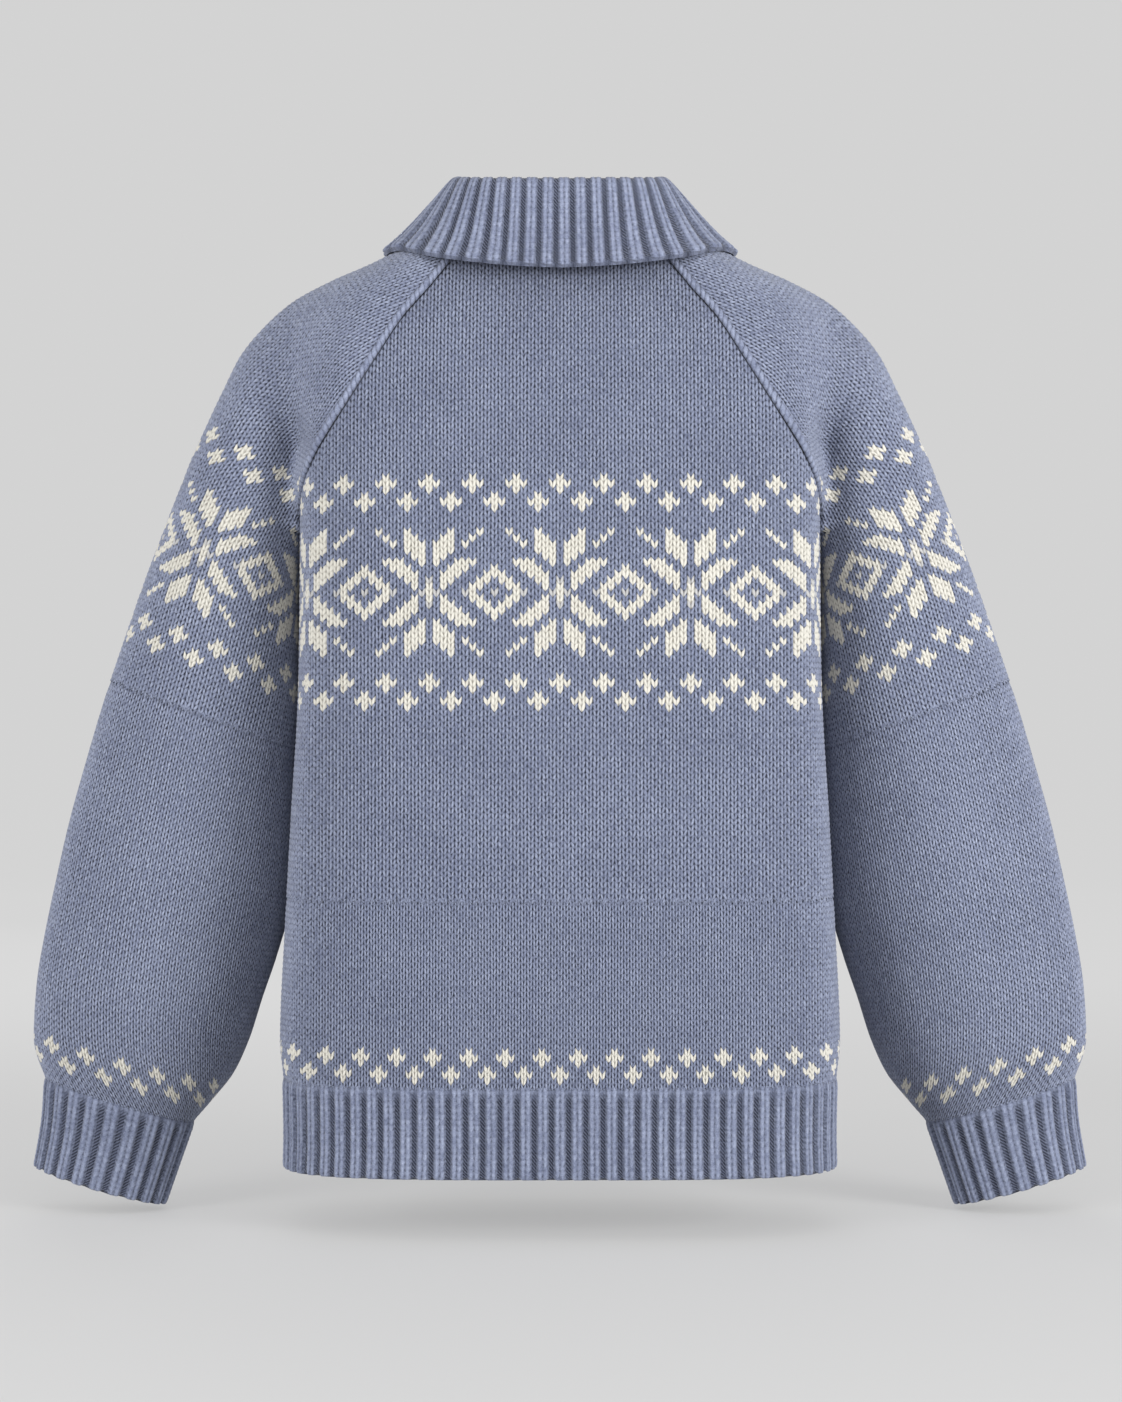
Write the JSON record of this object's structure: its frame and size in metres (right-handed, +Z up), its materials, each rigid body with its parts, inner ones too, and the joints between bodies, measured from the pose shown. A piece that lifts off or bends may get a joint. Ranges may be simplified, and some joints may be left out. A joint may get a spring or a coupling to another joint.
{
  "type": "fair isle cardigan",
  "caption": "Knitted wool raglan cardigan with a folded ribbed collar, full sleeves, star and cross bands, and a buttoned front, filled out with no wearer.",
  "frame": {"origin": "middle of the neck opening, just below the back of the neckline, where the wearer's neck and shoulders hold the cardigan up", "axes": "+X towards the wearer's left, -Y towards the front, +Z up"},
  "size_m": [0.797, 0.2486, 0.7673],
  "materials": {
    "wool": "blue-grey wool in stocking stitch, with cream motifs",
    "rib": "blue-grey wool in two by two rib",
    "button": "dark horn-like button, softly shiny"
  },
  "bodies": {
    "root": {"back_panel": "wool", "front_left": "wool", "front_right": "wool", "sleeve_left": "wool", "sleeve_right": "wool", "cuff_left": "rib", "cuff_right": "rib", "hem_rib_back": "rib", "hem_rib_left": "rib", "hem_rib_right": "rib", "collar": "rib", "band_under": "rib", "band_over": "rib", "button_1": "button", "button_2": "button", "button_3": "button", "button_4": "button", "button_5": "button", "button_6": "button"}
  },
  "joints": []
}
